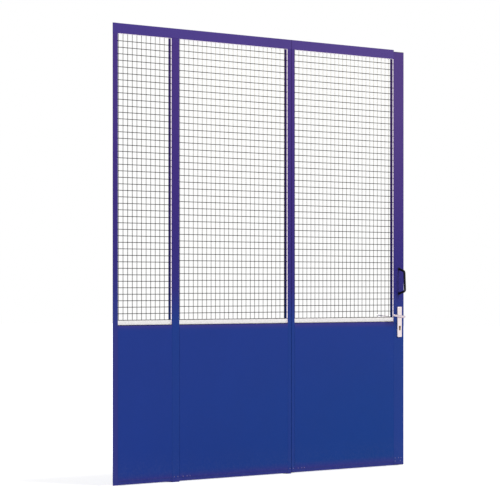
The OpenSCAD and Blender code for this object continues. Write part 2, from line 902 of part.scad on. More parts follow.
// Two talons reach down from the bolt's tail to just above the cam's sweep
module dead_bolt() {
    head_back = bolt_throw + bolt_head_in;
    color(lock_steel) union() {
        for (x = [-cam_reach - talon_w, cam_reach])
            box([lock_x + x, -tail_t / 2, cylinder_z + cam_reach + talon_gap],
                [lock_x + x + talon_w, tail_t / 2, bolt_tail_low_z + cut]);
        box([right_x - head_back, -bolt_t / 2, bolt_low_z], [right_x, bolt_t / 2, bolt_top_z]);
        box([case_x + 3 * case_wall, -tail_t / 2, bolt_tail_low_z],
            [right_x - head_back + cut, tail_t / 2, bolt_tail_top_z]);
    }
}

// ---- Levers and backplates ----

module spindle_cut(y0, y1) {
    side = spindle_s / 2 + spindle_fit;
    translate([lock_x, 0, lever_z]) box([-side, y0, -side], [side, y1, side]);
}

module spindle() {
    side = spindle_s / 2;
    color(lock_steel) translate([lock_x, 0, lever_z])
        box([-side, -spindle_l / 2, -side], [side, spindle_l / 2, side]);
}

// The turning hub of the lock, with the arm that draws the latch
module lock_follower() {
    color(lock_steel) difference() {
        translate([lock_x, 0, lever_z]) {
            rod_y(hub_r, -case_inner + bolt_clear, case_inner - bolt_clear);
            rod_y(collar_r, -case_t / 2, case_t / 2);
            box([-arm_w / 2, -tail_t / 2, 0], [arm_w / 2, tail_t / 2, arm_l]);
            translate([0, 0, arm_l]) rod_y(arm_w / 2, -tail_t / 2, tail_t / 2);
        }
        spindle_cut(-case_t, case_t);
    }
}

// A lever on its neck; side is -1 at the front and 1 at the rear
module lever(side) {
    axis_y = rear_y + lever_axis_y;
    color(silver) difference() {
        translate([lock_x, 0, lever_z]) scale([1, side, 1]) {
            rod_y(neck_r, rear_y + neck_gap, axis_y);
            translate([0, axis_y, 0]) {
                sphere(r = neck_r);
                rotate([0, lever_rise - 90, 0]) cylinder(r = lever_r, h = lever_l);
                rotate([0, lever_rise - 90, 0]) translate([0, 0, lever_l]) sphere(r = lever_r);
            }
        }
        spindle_cut(-spindle_l / 2 - spindle_end_gap, spindle_l / 2 + spindle_end_gap);
        at_grub_screws() cylinder(r = grub_r + thread_fit, h = 2 * neck_r);
    }
}

// The screws that lock each lever to the spindle, from below
module at_grub_screws() {
    for (side = [-1, 1])
        translate([lock_x, side * (rear_y + plate_t + grub_off), lever_z - 2 * neck_r])
            children();
}

module lever_grub_screws() {
    color(black) at_grub_screws()
        translate([0, 0, neck_r + grub_sunk])
            cylinder(r = grub_r, h = neck_r - grub_sunk - spindle_s / 2 - thread_fit);
}

// A shallow pressed shell with bosses for its bolts, face side outwards
module backplate(side) {
    back = rear_y;
    face = rear_y + plate_t;
    inner_w = plate_w - 2 * plate_skin;
    inner_l = plate_l - 2 * plate_skin;
    color(silver) difference() {
        scale([1, side, 1]) difference() {
            translate([lock_x, 0, plate_mid_z]) along_y(back, face)
                round_rectangle(plate_w, plate_l, plate_corner_r);
            difference() {
                translate([lock_x, 0, plate_mid_z]) along_y(back - cut, face - plate_skin)
                    round_rectangle(inner_w, inner_l, plate_corner_r - plate_skin);
                at_plate_bolts() rod_y(plate_boss_r, back - cut, face);
            }
            translate([lock_x, 0, lever_z]) rod_y(neck_r + neck_fit, back - cut, face + cut);
        }
        cylinder_cut(-face - cut, face + cut, cylinder_clear);
        at_plate_bolts() rod_y(bolt_pass_r, -face - cut, face + cut);
    }
}

module lever_return_springs() {
    face = rear_y + plate_t - plate_skin - spring_r - slip;
    color(lock_steel)
        for (side = [-1, 1])
            translate([lock_x, side * face, lever_z]) rotate([90, 0, 0])
                rotate_extrude() translate([neck_r + spring_gap + spring_r, 0]) circle(r = spring_r);
}

// Bolts from the front; each turns into a sleeve nut from the rear
module plate_bolts() {
    face = rear_y + plate_t;
    color(silver) at_plate_bolts() {
        rod_y(screw_head_r, -face - plate_head_t, -face);
        rod_y(plate_bolt_r, -face - cut, rear_y);
    }
}

module plate_sleeve_nuts() {
    face = rear_y + plate_t;
    color(silver) at_plate_bolts() difference() {
        union() {
            rod_y(screw_head_r, face, face + plate_head_t);
            rod_y(sleeve_nut_r, 0, face + cut / 2);
        }
        rod_y(plate_bolt_r + thread_fit, -cut, rear_y + cut);
    }
}

left_cover_strip();
left_side_bar();
mullion();
door_post();
top_rail();
rail_end_cap();
mid_rail(narrow_x, mullion_x);  // narrow_mid_rail
mid_rail(middle_x, door_post_x);  // middle_mid_rail
bottom_rail(narrow_x, mullion_x, foot_t, []);  // narrow_bottom_rail
bottom_rail(middle_x, door_post_x, foot_t, sheet_rivets);  // middle_bottom_rail
sheet(narrow_x, mullion_x, []);  // narrow_sheet
sheet(middle_x, door_post_x, sheet_rivets);  // middle_sheet
mesh(narrow_x, mullion_x, narrow_pitch_x, narrow_pitch_z);  // narrow_mesh
mesh(middle_x, door_post_x, middle_pitch_x, wide_pitch_z);  // middle_mesh
sill_channel(narrow_x, mullion_x);  // narrow_sill_channel
sill_channel(middle_x, door_post_x);  // middle_sill_channel
edge_trim(narrow_x, mullion_x);  // narrow_edge_trim
edge_trim(middle_x, door_post_x);  // middle_edge_trim
panel_rivets();
foot_plate(left_x, narrow_x);  // left_foot_plate
foot_plate(mullion_x, middle_x, upright_rivets);  // mullion_foot_plate
foot_plate(door_post_x, door_post_x + door_post_w, [upright_rivets[0]]);  // door_post_foot_plate
hinge_pintles();
hinge_washers();
hinge_stile();
lock_stile();
door_top_rail();
mid_rail(door_x, lock_stile_x);  // door_mid_rail
bottom_rail(door_x, lock_stile_x, door_clear, sheet_rivets);  // door_bottom_rail
sheet(door_x, lock_stile_x, sheet_rivets);  // door_sheet
mesh(door_x, lock_stile_x, door_pitch_x, wide_pitch_z);  // door_mesh
sill_channel(door_x, lock_stile_x);  // door_sill_channel
edge_trim(door_x, lock_stile_x);  // door_edge_trim
door_rivets();
hinge_sleeves();
stile_caps();
pull_handle();
pull_handle_screws();
lock_case();
lock_case_cover();
lock_forend();
forend_screws();
backplate(-1);  // front_plate
backplate(1);  // rear_plate
plate_bolts();
plate_sleeve_nuts();
lever_return_springs();
cylinder_body();
cylinder_screw();
rear_plug();
lever(-1);  // front_lever
lever(1);  // rear_lever
spindle();
lock_follower();
lever_grub_screws();
latch_bolt();
front_plug();
cylinder_cam();
dead_bolt();
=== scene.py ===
"""The look of a wire mesh partition with a hinged door leaf: pieces, paint, zinc, light, camera."""

import json
import math

import bmesh
import bpy
import numpy as np
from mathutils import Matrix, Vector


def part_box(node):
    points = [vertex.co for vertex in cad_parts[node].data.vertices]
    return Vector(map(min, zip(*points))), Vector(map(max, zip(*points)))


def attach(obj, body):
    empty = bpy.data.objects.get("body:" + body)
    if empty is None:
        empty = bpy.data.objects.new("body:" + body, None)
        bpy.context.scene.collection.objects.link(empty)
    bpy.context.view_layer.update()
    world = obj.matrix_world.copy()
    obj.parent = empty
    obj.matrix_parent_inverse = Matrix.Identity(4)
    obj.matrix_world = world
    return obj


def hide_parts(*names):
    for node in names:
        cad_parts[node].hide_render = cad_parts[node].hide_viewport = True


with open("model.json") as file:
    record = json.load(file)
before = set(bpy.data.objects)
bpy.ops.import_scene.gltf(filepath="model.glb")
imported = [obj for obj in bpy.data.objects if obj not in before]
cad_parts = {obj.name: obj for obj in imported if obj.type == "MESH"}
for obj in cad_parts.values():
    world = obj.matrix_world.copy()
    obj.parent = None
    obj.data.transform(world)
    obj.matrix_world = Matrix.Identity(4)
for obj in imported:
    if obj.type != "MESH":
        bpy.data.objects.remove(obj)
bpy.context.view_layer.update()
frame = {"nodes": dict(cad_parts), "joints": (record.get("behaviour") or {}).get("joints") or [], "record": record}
NODES = frame["nodes"]
RECORD = frame["record"]
JOINTS = {joint["name"]: joint for joint in frame["joints"]}
BODY_OF = {node: body for body, nodes in RECORD["behaviour"]["bodies"].items() for node in nodes}
SLOT_OF = {row["node"]: row["material_slot"] for row in RECORD["subparts"]}
MM = 0.001
ON_AXIS = 0.001 * MM


# ---- Sizes read from the frame, and the small ones that its boxes don't give ----


def low_high(name):
    """The lowest and highest corner of a CAD node, as two numpy points."""
    low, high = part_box(name)
    return np.array(low), np.array(high)


MULLION_LOW, MULLION_HIGH = low_high("mullion")
POST_LOW = low_high("door_post")[0]
HINGE_STILE_HIGH = low_high("hinge_stile")[1]
STILE_LOW, STILE_HIGH = low_high("lock_stile")
FRONT_Y = float(STILE_LOW[1])
REAR_Y = float(STILE_HIGH[1])
POST_TOP = float(MULLION_HIGH[2])
SHEET_TOP = float(low_high("middle_sheet")[1][2])
END_STRIP_X = float(low_high("left_cover_strip")[1][0])
WIRES_MEET_Y = float(sum(low_high("door_mesh"))[1] / 2)
LEVER_PIVOT = np.array(JOINTS["lever_turn"]["pos_m"])
LOCK_X = float(LEVER_PIVOT[0])
HINGE_X = JOINTS["door_swing"]["pos_m"][0]
FORWARD = np.array([0.0, -1.0, 0.0])
BACKWARD = np.array([0.0, 1.0, 0.0])
RIGHTWARD = np.array([1.0, 0.0, 0.0])

PLATE_FACE = 9 * MM
PLATE_CORNER = 6 * MM
PLATE_EDGE_R = 2.2 * MM
LEVER_NECK_R = 8.3 * MM
LEVER_RING_R = 9.9 * MM
LEVER_BAR_R = 7 * MM
LEVER_AXIS = 57 * MM
LEVER_GRIP = 138 * MM
LEVER_RISE = math.radians(5)
LEVER_BEND = 11 * MM
LEVER_SEAT = 1.2 * MM
LEVER_SHOULDER = 4 * MM
LEVER_NECK_STEPS = (0.0, 0.66, 0.74, 0.95, 1.0)
LEVER_SWELL = 0.035
PULL_BAR_R = 7.9 * MM
PULL_PAD_R = 11 * MM
PULL_PAD_T = 4 * MM
PULL_TOP_OFF = 50 * MM
PULL_LOW_OFF = 56 * MM
PULL_LEAN = 17 * MM
PULL_BEND = 15 * MM
# The pull's collar: distance beyond the bar's radius and height over the pad, in mm
PULL_COLLAR = [(1.4, 0.0), (1.1, 0.7), (0.9, 2.4), (-1.0, 3.4)]
SPRING_R = 9.9 * MM
SPRING_WIRE_R = 0.5 * MM
SPRING_PITCH = 1.2 * MM
SPRING_DEPTH = 3.3 * MM
SPRING_TURNS = 2


# ---- Mesh making ----


def piece(name, points, faces):
    """A smooth mesh object at the origin from an array of points and an array of faces."""
    mesh = bpy.data.meshes.new(name)
    mesh.from_pydata(np.asarray(points).reshape(-1, 3).tolist(), [], np.asarray(faces).tolist())
    mesh.shade_smooth()
    thing = bpy.data.objects.new(name, mesh)
    bpy.context.scene.collection.objects.link(thing)
    return thing


def grid_faces(rows, columns):
    """Four-cornered faces between neighbouring rings of a grid of points, rings being closed."""
    row = np.arange(rows - 1)[:, None]
    column = np.arange(columns)[None, :]
    next_column = (column + 1) % columns
    corners = [row * columns + column, row * columns + next_column,
               (row + 1) * columns + next_column, (row + 1) * columns + column]
    return np.stack(corners, -1).reshape(-1, 4)


def closed(thing, merge=1e-6):
    """Open rims closed with a face each, doubles merged and every face turned outwards."""
    work = bmesh.new()
    work.from_mesh(thing.data)
    bmesh.ops.holes_fill(work, edges=[e for e in work.edges if e.is_boundary], sides=0)
    bmesh.ops.remove_doubles(work, verts=work.verts, dist=merge)
    bmesh.ops.recalc_face_normals(work, faces=work.faces)
    work.to_mesh(thing.data)
    work.free()
    return thing


def creased(thing, angle=35.0):
    """Smooth shading, with a crease wherever two faces meet at more than the angle."""
    work = bmesh.new()
    work.from_mesh(thing.data)
    for edge in work.edges:
        edge.smooth = len(edge.link_faces) == 2 and edge.calc_face_angle() < math.radians(angle)
    work.to_mesh(thing.data)
    work.free()
    return thing


def joined(name, things):
    """Several mesh objects made into one, in order."""
    work = bmesh.new()
    for thing in things:
        work.from_mesh(thing.data)
        bpy.data.objects.remove(thing)
    mesh = bpy.data.meshes.new(name)
    work.to_mesh(mesh)
    work.free()
    whole = bpy.data.objects.new(name, mesh)
    bpy.context.scene.collection.objects.link(whole)
    return whole


def finished(thing, node):
    """The thing rides with a CAD node and takes the node's finish."""
    thing.data.materials.clear()
    thing.data.materials.append(finish_of(node))
    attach(thing, BODY_OF[node])
    return thing


def stands_for(thing, node, crease=35.0):
    """The thing hides the node and takes its place, body and finish."""
    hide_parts(node)
    return finished(creased(thing, crease), node)


def merged_copy(name, node):
    """A new object with a copy of a CAD node's mesh, and that mesh to work on, doubles merged."""
    thing = bpy.data.objects.new(name, NODES[node].data.copy())
    bpy.context.scene.collection.objects.link(thing)
    work = bmesh.new()
    work.from_mesh(thing.data)
    bmesh.ops.remove_doubles(work, verts=work.verts, dist=1e-5)
    return thing, work


def eased(node, radius):
    """A copy of a CAD node with its sharp edges rounded off, in the node's place.

    The copy's flat faces are joined first. An edge is rounded where its faces meet at more than
    40 degrees."""
    thing, work = merged_copy(node + "_eased", node)
    bmesh.ops.dissolve_limit(work, angle_limit=math.radians(0.5), verts=work.verts,
                             edges=work.edges)
    weight = work.edges.layers.float.new("bevel_weight_edge")
    for edge in work.edges:
        sharp = len(edge.link_faces) == 2 and edge.calc_face_angle() > math.radians(40)
        edge[weight] = float(sharp)
        edge.smooth = not sharp
    work.to_mesh(thing.data)
    work.free()
    thing.data.shade_smooth()
    bevel = thing.modifiers.new("eased_edges", "BEVEL")
    bevel.width = radius
    bevel.segments = 3
    bevel.limit_method = "WEIGHT"
    bevel.harden_normals = True
    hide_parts(node)
    return finished(thing, node)


def bent_path(corners, bend_radius, steps):
    """A path through corner points, straight between them and turned at each on an arc.

    At a corner with unit directions a to the last point and b to the next, the arc touches both
    legs at distance r / tan(h), h being half the angle between a and b. Its centre lies on the
    bisector, at r / sin(h). The arms S and E lead from the centre to the arc's start and end, at
    the angle w, and its points are centre + (sin((1 - t) w) S + sin(t w) E) / sin(w)."""
    corners = [np.asarray(c, float) for c in corners]
    path = [corners[0][None]]
    for before, here, after in zip(corners, corners[1:], corners[2:]):
        a = (before - here) / np.linalg.norm(before - here)
        b = (after - here) / np.linalg.norm(after - here)
        half = math.acos(float(np.clip(a @ b, -1, 1))) / 2
        bisector = (a + b) / np.linalg.norm(a + b)
        centre = here + bisector * bend_radius / math.sin(half)
        start = here + a * bend_radius / math.tan(half) - centre
        end = here + b * bend_radius / math.tan(half) - centre
        sweep = math.pi - 2 * half
        share = np.linspace(0, 1, steps + 1)[:, None]
        path.append(centre + (np.sin((1 - share) * sweep) * start
                              + np.sin(share * sweep) * end) / math.sin(sweep))
    path.append(corners[-1][None])
    return np.concatenate(path)


def swept_rod(name, path, radii, side, sides):
    """A round rod: rings of the given radii about the path's points, square to the path.

    A ring's point is centre + r (cos a) S + r (sin a) N, S being the fixed side direction and N
    the path's direction crossed with S."""
    path = np.asarray(path, float)
    radii = np.broadcast_to(radii, len(path))
    along = np.gradient(path, axis=0)
    along /= np.linalg.norm(along, axis=1, keepdims=True)
    side = np.asarray(side, float)
    normal = np.cross(along, side)
    normal /= np.linalg.norm(normal, axis=1, keepdims=True)
    turn = np.linspace(0, 2 * np.pi, sides, endpoint=False)
    round_path = np.cos(turn)[:, None] * side + np.sin(turn)[:, None] * normal[:, None]
    rings = path[:, None] + radii[:, None, None] * round_path
    return closed(piece(name, rings, grid_faces(len(path), sides)))


def turned(name, profile, centre, axis, sides, shapes=None):
    """A profile of (distance from the axis, height along it) pairs, carried round the axis.

    A point is centre + h A + r g(a) ((cos a) U + (sin a) V), U and V being square to the axis A.
    The factor g is 1, or shapes[row](a) where a row has a shape of its own."""
    profile = np.asarray(profile, float)
    axis = np.asarray(axis, float)
    u = np.cross(axis, [0.0, 0.0, 1.0] if abs(axis[2]) < 0.9 else [1.0, 0.0, 0.0])
    u /= np.linalg.norm(u)
    v = np.cross(axis, u)
    turn = np.linspace(0, 2 * np.pi, sides, endpoint=False)
    factor = np.ones((len(profile), sides))
    for row, shape in (shapes or {}).items():
        factor[row] = shape(turn)
    ring = np.cos(turn)[:, None] * u + np.sin(turn)[:, None] * v
    points = (np.asarray(centre) + profile[:, 1, None, None] * axis
              + (profile[:, 0, None] * factor)[..., None] * ring[None])
    return closed(piece(name, points, grid_faces(len(profile), sides)), merge=1e-7)


def quarter_round(radius, height, corner, steps=5):
    """Profile points round the outer corner of a disc, from its rim up to its flat top.

    For a disc of radius R and height H, a point is (R - c + c cos a, H - c + c sin a)."""
    turn = np.linspace(0, np.pi / 2, steps)
    return np.column_stack([radius - corner + corner * np.cos(turn),
                            height - corner + corner * np.sin(turn)])


def hexagon(turn):
    """How far a hexagon's edge is from its middle, in units of half its width across flats.

    That is 1 / cos b, b being the angle from the middle of the nearest flat."""
    return 1 / np.cos((turn % (np.pi / 3)) - np.pi / 6)


# ---- Shader making ----


class Amount:
    """A number that changes over a surface. Sums on it add their own Math nodes."""

    def __init__(self, finish, socket):
        self.finish = finish
        self.socket = socket

    def math(self, operation, *values, clamp=False):
        inputs = dict(enumerate(values))
        return Amount(self.finish, self.finish.node(
            "Math", {"operation": operation, "use_clamp": clamp}, inputs))

    def __add__(self, other):
        return self.math("ADD", self, other)

    def __sub__(self, other):
        return self.math("SUBTRACT", self, other)

    def __rsub__(self, other):
        return self.math("SUBTRACT", other, self)

    def __mul__(self, other):
        return self.math("MULTIPLY", self, other)

    def over(self, edge, reach):
        """0 below the edge, rising to 1 over the reach."""
        return self.math("MULTIPLY", self - edge, 1 / reach, clamp=True)

    __radd__ = __add__
    __rmul__ = __mul__


class Finish:
    """A material for one surface, built on the Principled shader over Object coordinates."""

    def __init__(self, name, **constants):
        self.material = bpy.data.materials.new(name)
        self.material.use_nodes = True
        self.tree = self.material.node_tree
        self.tree.nodes.clear()
        self.surface = self.tree.nodes.new("ShaderNodeBsdfPrincipled")
        out = self.tree.nodes.new("ShaderNodeOutputMaterial")
        self.tree.links.new(self.surface.outputs["BSDF"], out.inputs["Surface"])
        for socket, value in constants.items():
            self.surface.inputs[socket.replace("_", " ")].default_value = value
        self.place = self.node("TexCoord", output="Object")

    def node(self, kind, settings=None, inputs=None, output=0):
        """A shader node of a kind; settings come first, then values or links for its sockets."""
        made = self.tree.nodes.new("ShaderNode" + kind)
        for name, value in (settings or {}).items():
            if name == "stops":
                self.set_stops(made.color_ramp, value)
            else:
                setattr(made, name, value)
        for key, value in (inputs or {}).items():
            self.feed(made.inputs[key], value)
        return made.outputs[output]

    def set_stops(self, ramp, stops):
        while len(ramp.elements) < len(stops):
            ramp.elements.new(0.5)
        for element, (position, colour) in zip(ramp.elements, stops):
            element.position = position
            element.color = (*colour, 1)

    def feed(self, socket, value):
        if isinstance(value, Amount):
            value = value.socket
        if isinstance(value, bpy.types.NodeSocket):
            self.tree.links.new(value, socket)
        elif socket.type == "RGBA" and len(value) == 3:
            socket.default_value = (*value, 1)
        else:
            socket.default_value = value

    def set(self, name, value):
        self.feed(self.surface.inputs[name], value)

    def noise(self, scale, detail=3.0, roughness=0.5, stretch=(1, 1, 1)):
        """Cloudy noise from 0 to 1, scale lumps to the metre, times the stretch along each axis."""
        place = self.node("Mapping", inputs={"Vector": self.place, "Scale": stretch})
        return Amount(self, self.node("TexNoise", inputs={
            "Vector": place, "Scale": scale, "Detail": detail, "Roughness": roughness}))

    def cells(self, scale, output="Distance"):
        """Cells of random size: the distance to a cell's middle, or a colour for each cell."""
        made = self.node("TexVoronoi", inputs={"Vector": self.place, "Scale": scale}, output=output)
        return made if output == "Color" else Amount(self, made)

    def along(self, axis):
        """The place along X, Y or Z, in metres."""
        return Amount(self, self.node("SeparateXYZ", inputs={0: self.place}, output=axis))

    def mixed(self, share, first, second):
        """The first colour at share 0, the second at 1. The numbers are the colour sockets'."""
        return self.node("Mix", {"data_type": "RGBA"}, {0: share, 6: first, 7: second}, output=2)

    def brightened(self, colour, amount):
        """The colour times an amount."""
        return self.node("VectorMath", {"operation": "SCALE"},
                         {"Vector": colour, "Scale": amount})

    def ramp(self, amount, stops):
        return self.node("ValToRGB", {"stops": stops}, {"Fac": amount})

    def relief(self, height, distance, strength):
        """Bumps as deep as the distance, in metres, where the height goes from 0 to 1."""
        self.set("Normal", self.node("Bump", inputs={
            "Height": height, "Distance": distance, "Strength": strength}))


def shade(red, green, blue):
    """A colour read as 0 to 255 on a screen, as the linear numbers that a shader takes.

    A share s becomes s / 12.92 up to 0.04045, and ((s + 0.055) / 1.055)^2.4 above it."""
    share = np.array([red, green, blue]) / 255
    linear = np.where(share <= 0.04045, share / 12.92, ((share + 0.055) / 1.055) ** 2.4)
    return tuple(float(value) for value in linear)


# ---- Finishes ----

# Wire tones: the near-black of the level wires is painted shade, and the pale upright tone a painted highlight.
LEVEL_WIRE_PAINTED_SHADE = shade(14, 14, 14)
LEVEL_WIRE_PAINTED_SHADE_WORN = shade(28, 27, 27)
UPRIGHT_WIRE = shade(58, 56, 50)
UPRIGHT_WIRE_PAINTED_HIGHLIGHT = shade(238, 234, 222)
FRAME_FOOT = shade(46, 46, 122)
FRAME_LOW = shade(24, 54, 130)
FRAME_END_LOW = shade(44, 50, 124)
FRAME_SILL = shade(44, 40, 118)
FRAME_MIDDLE = shade(55, 39, 118)
FRAME_TOP = shade(70, 49, 124)
FRAME_RAIL = shade(70, 56, 132)
FRAME_RAIL_RIGHT = shade(83, 64, 133)
FRAME_STILE = shade(79, 58, 125)
SHEET_LOW = shade(2, 53, 128)
SHEET_MIDDLE = shade(12, 53, 130)
SHEET_HIGH = shade(24, 52, 132)
SHEET_LEFT = shade(29, 52, 132)
SHEET_EDGE = shade(51, 52, 128)
SHEET_RIM_PAINTED_SHADOW = shade(26, 24, 66)
SHEET_FOOT = shade(44, 46, 124)
DUST = shade(132, 128, 138)
ZINC_STAIN = shade(188, 178, 164)
BRASS = shade(138, 108, 66)
BRASS_DARK = shade(90, 70, 50)
REAR_LEVER_PAINTED_LIGHT = shade(252, 251, 250)


def powder_coat(name, tone, roughness):
    """Sprayed and baked paint: the colour that tone gives, under orange peel, dust and scuffs."""
    coat = Finish(name, Metallic=0.0, Specular_IOR_Level=0.08)
    cloud = coat.noise(2.2, 4, 0.6)
    speck = coat.noise(260, 2)
    colour = coat.brightened(tone(coat), 0.9 + 0.14 * cloud + 0.06 * speck)
    height = coat.along("Z")
    near_floor = 1 - height.over(0.0, 0.22)
    dusty = near_floor * coat.noise(90, 5, 0.7).over(0.46, 0.3) * 0.12
    scratch = coat.noise(70, 2, 0.4, (0.3, 1, 2.4)).over(0.74, 0.06)
    scratch = scratch * coat.noise(7).over(0.56, 0.1)
    colour = coat.mixed(scratch * 0.18, coat.mixed(dusty, colour, DUST), DUST)
    coat.set("Base Color", colour)
    coat.set("Roughness", roughness - 0.05 + 0.1 * cloud + 0.3 * dusty + 0.2 * scratch)
    peel = coat.noise(750, 2) + 0.5 * coat.noise(190, 2)
    coat.relief(peel, 0.12 * MM, 0.55)
    return coat.material


def frame_tone(coat):
    """Blue low down on the uprights, more violet towards the top, and lighter along the rail.

    The left end's foot is a little more violet than the others', and the lock stile paler above.
    The ramp's places are shares of 3 m."""
    height = coat.along("Z") * (1 / 3.0)
    upright = coat.ramp(height, [
        (0.0, FRAME_FOOT), (0.02, FRAME_LOW), (0.34, FRAME_LOW), (0.42, FRAME_SILL),
        (0.6, FRAME_MIDDLE), (0.955, FRAME_TOP), (0.966, FRAME_RAIL)])
    left_end = 1 - coat.along("X").over(END_STRIP_X - 1 * MM, 1 * MM)
    low_down = 1 - coat.along("Z").over(1.0, 0.4)
    upright = coat.mixed(left_end * low_down, upright, FRAME_END_LOW)
    rightward = coat.along("X").over(-1.5, 3.0)
    on_rail = coat.along("Z").over(POST_TOP - 5 * MM, 10 * MM)
    upright = coat.mixed(on_rail * rightward, upright, FRAME_RAIL_RIGHT)
    on_stile = coat.along("X").over(STILE_LOW[0] - 1 * MM, 1 * MM)
    return coat.mixed(on_stile * coat.along("Z").over(1.5, 1.1), upright, FRAME_STILE)


def sheet_tone(coat):
    """An even blue, greyer towards the left and more violet along its top and bottom edges.

    A painted shadow darkens the last few millimetres under the sill. The ramp's places are shares of 1.03 m."""
    height = coat.along("Z").over(0.0, 1.03)
    low_to_high = coat.ramp(height, [
        (0.0, SHEET_FOOT), (0.03, SHEET_FOOT), (0.075, SHEET_LOW), (0.5, SHEET_MIDDLE),
        (0.955, SHEET_HIGH), (0.985, SHEET_EDGE)])
    leftward = (1 - coat.along("X").over(-1.5, 2.6)) * (1 - height.over(0.955, 0.03))
    broad = coat.mixed(leftward * height.over(0.03, 0.04) * 0.8, low_to_high, SHEET_LEFT)
    # Painted shadow: the top 5 mm of the sheet, under the sill, turn dark navy.
    return coat.mixed(coat.along("Z").over(SHEET_TOP - 5 * MM, 1 * MM), broad, SHEET_RIM_PAINTED_SHADOW)


def galvanised(name, colour, spangle, roughness, metallic):
    """Zinc with crystals that differ in brightness, and a dull bloom over them."""
    zinc = Finish(name)
    crystal = Amount(zinc, zinc.node("SeparateColor", inputs={0: zinc.cells(140, "Color")}))
    bloom = zinc.noise(24, 5, 0.65)
    tone = zinc.brightened(colour, (1 - spangle) + spangle * crystal + 0.08 * bloom)
    stain = zinc.noise(11, 4, 0.7).over(0.6, 0.25) * 0.18
    zinc.set("Base Color", zinc.mixed(stain, tone, ZINC_STAIN))
    zinc.set("Metallic", metallic - 0.2 * stain)
    zinc.set("Roughness", roughness + 0.12 * bloom - 0.06 * crystal)
    zinc.relief(zinc.cells(140) + 0.6 * zinc.noise(420, 2), 0.06 * MM, 0.4)
    return zinc.material


def drawn_wire():
    """Drawn steel wire under dull zinc: fine grey mottle, with the level wires darker than the uprights as painted
    shade, and the uprights paler and more metallic high up and to the right as a painted highlight and reflection.

    The uprights lie behind the level wires, so the place along Y tells them apart."""
    wire = Finish("dull_mesh_wire", Specular_IOR_Level=0.2)
    mottle = wire.noise(310, 4, 0.6)
    patch = wire.noise(6, 3).over(0.35, 0.4)
    # Painted shade: the level wires take a near-black tone, lighter in random worn patches.
    level = wire.mixed(patch, LEVEL_WIRE_PAINTED_SHADE, LEVEL_WIRE_PAINTED_SHADE_WORN)
    high = wire.along("Z").over(SHEET_TOP + 0.2, 1.5)
    rightward = wire.along("X").over(-1.4, 0.9)
    # Painted highlight: the uprights turn pale towards the top and towards the right.
    upright = wire.mixed(0.3 * rightward + high * (0.25 + 0.45 * rightward),
                         UPRIGHT_WIRE, UPRIGHT_WIRE_PAINTED_HIGHLIGHT)
    behind = wire.along("Y").over(WIRES_MEET_Y - 0.4 * MM, 0.8 * MM)
    wire.set("Base Color", wire.brightened(
        wire.mixed(behind, level, upright), 0.82 + 0.36 * mottle))
    # Painted reflection: the same places get more metallic, to mirror the white surroundings.
    wire.set("Metallic", 0.1 + behind * high * (0.3 + 0.5 * rightward))
    wire.set("Roughness", 0.55 + 0.2 * mottle)
    wire.relief(mottle, 0.1 * MM, 0.5)
    return wire.material


def brushed(name, colour, grain, roughness, wear, rear_painted_light=None):
    """Metal brushed one way: fine lines along the grain's long axis, handled places smoother."""
    metal = Finish(name)
    # Painted light: behind Y = 0 the colour turns to the rear one, a near-white copy that stands in for light on
    # the rear lever, which lies in shade.
    if rear_painted_light:
        colour = metal.mixed(metal.along("Y").over(0.0, 1 * MM), colour, rear_painted_light)
    lines = metal.noise(60, 3, 0.6, grain)
    broad = metal.noise(14, 3)
    metal.set("Base Color", metal.mixed(
        broad.over(0.5, 0.35) * wear, metal.brightened(colour, 0.93 + 0.14 * lines),
        metal.brightened(colour, 0.72 + 0.1 * lines)))
    metal.set("Metallic", 0.94 + 0.06 * lines)
    metal.set("Roughness", roughness + 0.16 * lines - 0.08 * broad)
    metal.relief(lines, 0.03 * MM, 0.5)
    return metal.material


def tarnished_brass():
    """Lock brass gone brown, darker in patches."""
    brass = Finish("tarnished_lock_brass")
    patch = brass.noise(170, 5, 0.65)
    brass.set("Base Color", brass.mixed(patch.over(0.4, 0.25), BRASS, BRASS_DARK))
    brass.set("Metallic", 0.98 - 0.25 * patch)
    brass.set("Roughness", 0.3 + 0.25 * patch)
    brass.relief(brass.noise(900, 2), 0.03 * MM, 0.4)
    return brass.material


def black_coat():
    """Black powder coat with a fine wrinkle, polished by hands where it stands proudest."""
    coat = Finish("black_powder_coat", Metallic=0.0, Specular_IOR_Level=0.16)
    wrinkle = coat.noise(1300, 2) + 0.4 * coat.noise(330, 2)
    handled = (FRONT_Y - 30 * MM - coat.along("Y")).over(0.0, 14 * MM)
    rub = handled * coat.noise(60, 3).over(0.4, 0.3)
    coat.set("Base Color", coat.mixed(rub * 0.4, shade(9, 9, 10), shade(26, 25, 26)))
    coat.set("Roughness", 0.48 - 0.16 * rub + 0.06 * coat.noise(45, 3))
    coat.relief(wrinkle, 0.12 * MM, 0.5)
    return coat.material


def moulded_plastic():
    """Matt black plastic with a spark-eroded grain and pale scuffs."""
    plastic = Finish("moulded_black_plastic", Metallic=0.0, Specular_IOR_Level=0.35)
    grain = plastic.cells(1500) + 0.5 * plastic.noise(700, 2)
    scuff = plastic.noise(90, 4, 0.7, (1, 1, 2.5)).over(0.62, 0.14)
    plastic.set("Base Color", plastic.mixed(scuff * 0.3, shade(24, 24, 27), shade(74, 73, 76)))
    plastic.set("Roughness", 0.58 + 0.12 * scuff + 0.05 * plastic.noise(30))
    plastic.relief(grain, 0.08 * MM, 0.4)
    return plastic.material


